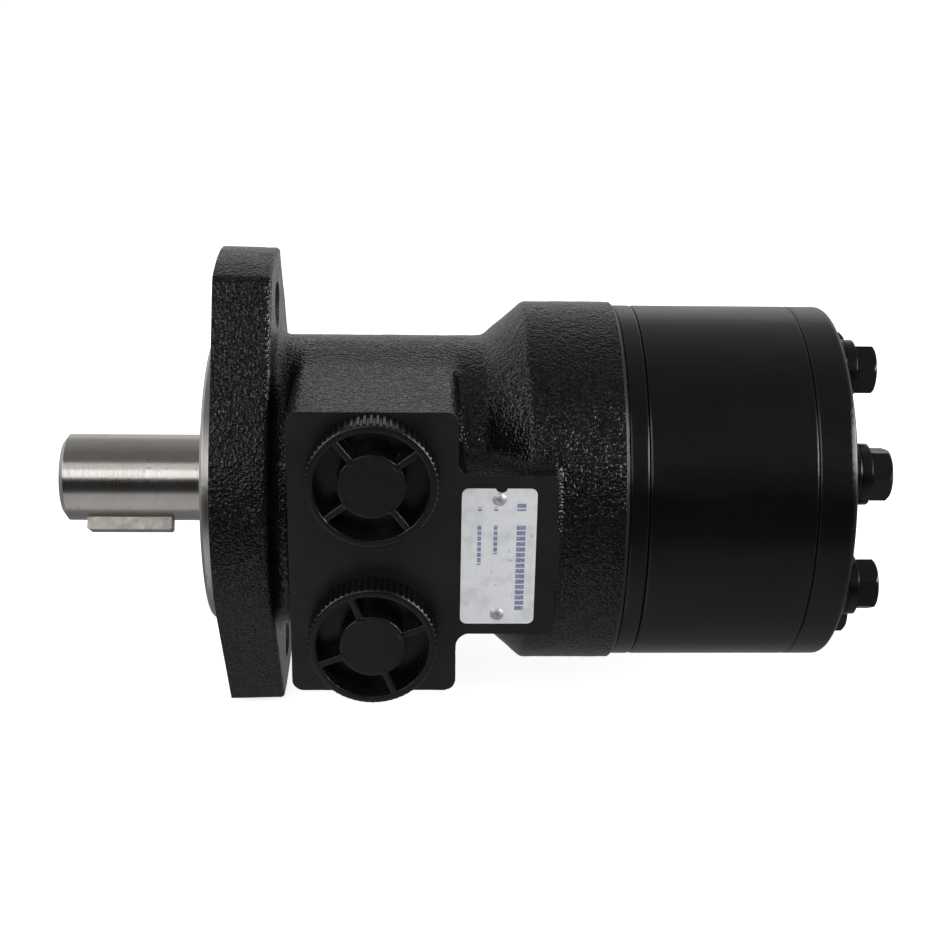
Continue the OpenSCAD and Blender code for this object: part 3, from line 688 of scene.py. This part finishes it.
def round_edges(obj, width):
    """Rounds the sharp edges of a CAD mesh with modifiers, which leave the mesh itself alone."""
    weld = obj.modifiers.new("weld", "WELD")
    weld.merge_threshold = 0.004 * MM
    bevel = obj.modifiers.new("bevel", "BEVEL")
    bevel.width = width * MM
    bevel.segments = 2
    bevel.limit_method = "ANGLE"
    bevel.angle_limit = math.radians(35)
    even = obj.modifiers.new("even_shading", "WEIGHTED_NORMAL")
    even.mode = "FACE_AREA_WITH_ANGLE"
    even.keep_sharp = True


for name, material in FINISH.items():
    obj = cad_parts[name]
    obj.data.materials.clear()
    obj.data.materials.append(material)
    if name in SOFT_EDGE:
        round_edges(obj, SOFT_EDGE[name])


# ---------- new pieces ----------

def stand_in(obj, node, body):
    """Puts a new piece in the place of a CAD node."""
    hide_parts(node)
    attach(obj, body)


def housing_zones(at):
    """0 on cast skin, 1 on painted machined faces, 2 on the bare pilot and 3 in the bores."""
    machined_rear = (at[0] > REAR_X - 1.3) & (np.hypot(at[1], at[2]) > 49)
    machined = (np.abs(at[1] + PORT_FACE) < 0.06) | (np.abs(at[0]) < 0.06) | machined_rear
    zone = np.where(np.abs(cast_skin(at)) < 0.12, 0, 3)
    zone = np.where(machined, 1, zone)
    return np.where(at[0] < -0.1, 2, zone)


skin = surface_mesh("housing_casting", housing, HOUSING_LO, HOUSING_HI, 0.7)
# The machined faces get their own roughness, and a lighter grey (0.008) than the other black paint: painted
# light for the brighter reflection these faces pick up
paint_zones(skin, [cast_paint(), smooth_paint("black_face_paint", 0.28, 0.38, 0.008),
                   turned_steel("turned_pilot", (0.64, 0.62, 0.60), 0.30, lines=0.008),
                   turned_steel("bored_iron", (0.36, 0.36, 0.37), 0.34, lines=0.01)],
            housing_zones(face_centres(skin)))
stand_in(skin, "housing", "motor_body")

PLUG_PLASTIC = plastic("plug_plastic", (0.003, 0.003, 0.003), 0.27)
for letter, spoke_angle in (("a", 38), ("b", 22)):
    lo, hi = box_mm("port_plug_" + letter)
    field = plug((lo[2] + hi[2]) / 2, math.radians(spoke_angle))
    cap = surface_mesh("plug_" + letter + "_moulding", field, lo, hi, 0.3)
    cap.data.materials.append(PLUG_PLASTIC)
    stand_in(cap, "port_plug_" + letter, "plug_" + letter)

sheet = surface_mesh("label_sheet", plate, PLATE_LO, PLATE_HI, 0.22)
sheet.data.materials.append(label())
stand_in(sheet, "name_plate", "motor_body")


# ---------- studio ----------

# The view looks level across an object that is turned about its shaft axis, so the whole studio is
# built in the view's own upright frame, with its origin at the shaft's end, and turned with it.
TILT = math.radians(23.2)
STUDIO = Matrix.Rotation(-TILT, 4, "X") @ Matrix.Translation((cad_bounds[0][0], 0, 0))


def soft_box(name, place, aim, size, power):
    """A rectangular light at a place, turned towards aim, both in the studio's frame."""
    light = bpy.data.lights.new(name, "AREA")
    light.shape = "RECTANGLE"
    light.size, light.size_y = size[0] * MM, size[1] * MM
    light.energy = power
    obj = bpy.data.objects.new(name, light)
    bpy.context.scene.collection.objects.link(obj)
    turn = (Vector(aim) - Vector(place)).to_track_quat("-Z", "Y").to_matrix().to_4x4()
    obj.matrix_world = STUDIO @ Matrix.Translation(Vector(place) * MM) @ turn
    return obj


soft_box("left_side", (-900, -650, 350), (60, 0, 0), (900, 700), 5.0)
soft_box("right_side", (1180, -364, 229), (60, 0, 0), (1500, 360), 12.0)
soft_box("front_left", (-140, -965, 150), (25, 0, 0), (320, 380), 0.56)
soft_box("front_left_high", (-140, -900, 500), (25, 0, 0), (320, 300), 0.20)
soft_box("low_left", (-120, -320, -870), (10, 0, 0), (500, 900), 0.38)
fill = soft_box("fill", (110, -1200, 700), (110, 0, 0), (700, 700), 6.5)
fill.visible_glossy = False

# Brightness of the room by height angle seen from the object: 0 is the viewer's side, 90 is up and
# 180 is behind, all in the studio's frame.
ROOM = ((-180, 0.28), (-134, 0.17), (-80, 0.23), (-50, 0.17), (-35, 0.03), (-10, 0.01), (10, 0.15),
        (30, 0.15), (52, 0.15), (72, 0.18), (96, 0.28), (118, 0.37), (126, 0.42), (132, 0.66), (148, 0.60),
        (180, 0.43))

world = bpy.data.worlds.new("studio")
world.use_nodes = True
bpy.context.scene.world = world
world.node_tree.nodes.clear()


def world_node(kind, settings, values):
    node = world.node_tree.nodes.new("ShaderNode" + kind)
    for key, value in settings.items():
        setattr(node, key, value)
    for key, value in values.items():
        if isinstance(value, bpy.types.NodeSocket):
            world.node_tree.links.new(value, node.inputs[key])
        else:
            node.inputs[key].default_value = value
    return node


coords = world_node("TexCoord", {}, {})
upright = world_node("VectorRotate", {"rotation_type": "X_AXIS"},
                     {"Vector": coords.outputs["Generated"], "Angle": TILT})
parts = world_node("SeparateXYZ", {}, {"Vector": upright.outputs[0]})
towards = world_node("Math", {"operation": "MULTIPLY"}, {0: parts.outputs[1], 1: -1.0})
height = world_node("Math", {"operation": "ARCTAN2"}, {0: parts.outputs[2], 1: towards.outputs[0]})
level = world_node("MapRange", {}, {"Value": height.outputs[0], "From Min": -math.pi, "From Max": math.pi})
ramp = world_node("ValToRGB", {}, {"Fac": level.outputs[0]})
stops = ramp.color_ramp.elements
while len(stops) < len(ROOM):
    stops.new(0.5)
for stop, (angle, grey) in zip(stops, ROOM):
    stop.position = (angle + 180) / 360
    stop.color = (grey, grey, grey, 1)
# The camera itself sees plain white behind the floor
ray = world_node("LightPath", {}, {})
seen = world_node("Mix", {"data_type": "RGBA"},
                  {0: ray.outputs["Is Camera Ray"], 6: ramp.outputs[0], 7: (1, 1, 1, 1)})
sky = world_node("Background", {}, {"Color": seen.outputs[2]})
world_node("OutputWorld", {}, {"Surface": sky.outputs[0]})

# Pale floor just under the flange, with a glow that only the camera sees, so that it comes out white
FLOOR_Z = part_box("housing")[0][2] - 0.3 * MM
FLOOR_GLOW = 0.82
floor_mesh = bpy.data.meshes.new("floor")
floor_mesh.from_pydata([(x, y, FLOOR_Z) for x, y in ((-4, -1), (4, -1), (4, 8), (-4, 8))], [], [(0, 1, 2, 3)])
floor = bpy.data.objects.new("floor", floor_mesh)
bpy.context.scene.collection.objects.link(floor)
pale = Nodes("floor", (0.85, 0.85, 0.85), 0.9)
glow = pale.math("MULTIPLY", pale.add("LightPath").outputs["Is Camera Ray"], FLOOR_GLOW)
pale.set(Emission_Color=(1, 1, 1, 1), Emission_Strength=glow,
         Roughness=pale.spread(pale.noise(30, 2), 0.85, 0.95))
floor_mesh.materials.append(pale.material)
floor.visible_glossy = False
floor.visible_shadow = False

# Camera, level in the studio's frame and turned slightly
CAMERA_AT = Vector((102.46, -485.29, 1.04))
YAW, ROLL = 0.0374, -0.004
lens = bpy.data.cameras.new("view")
lens.sensor_width = 36.0
lens.lens = 61.84
lens.clip_start = 0.01
camera = bpy.data.objects.new("view", lens)
bpy.context.scene.collection.objects.link(camera)
ahead = Vector((math.sin(YAW), math.cos(YAW), 0))
right = Vector((math.cos(ROLL) * math.cos(YAW), -math.cos(ROLL) * math.sin(YAW), -math.sin(ROLL)))
facing = Matrix((right, right.cross(ahead), -ahead)).transposed().to_4x4()
camera.matrix_world = STUDIO @ Matrix.Translation(CAMERA_AT * MM) @ facing
bpy.context.scene.camera = camera
bpy.context.scene.view_settings.view_transform = "Standard"
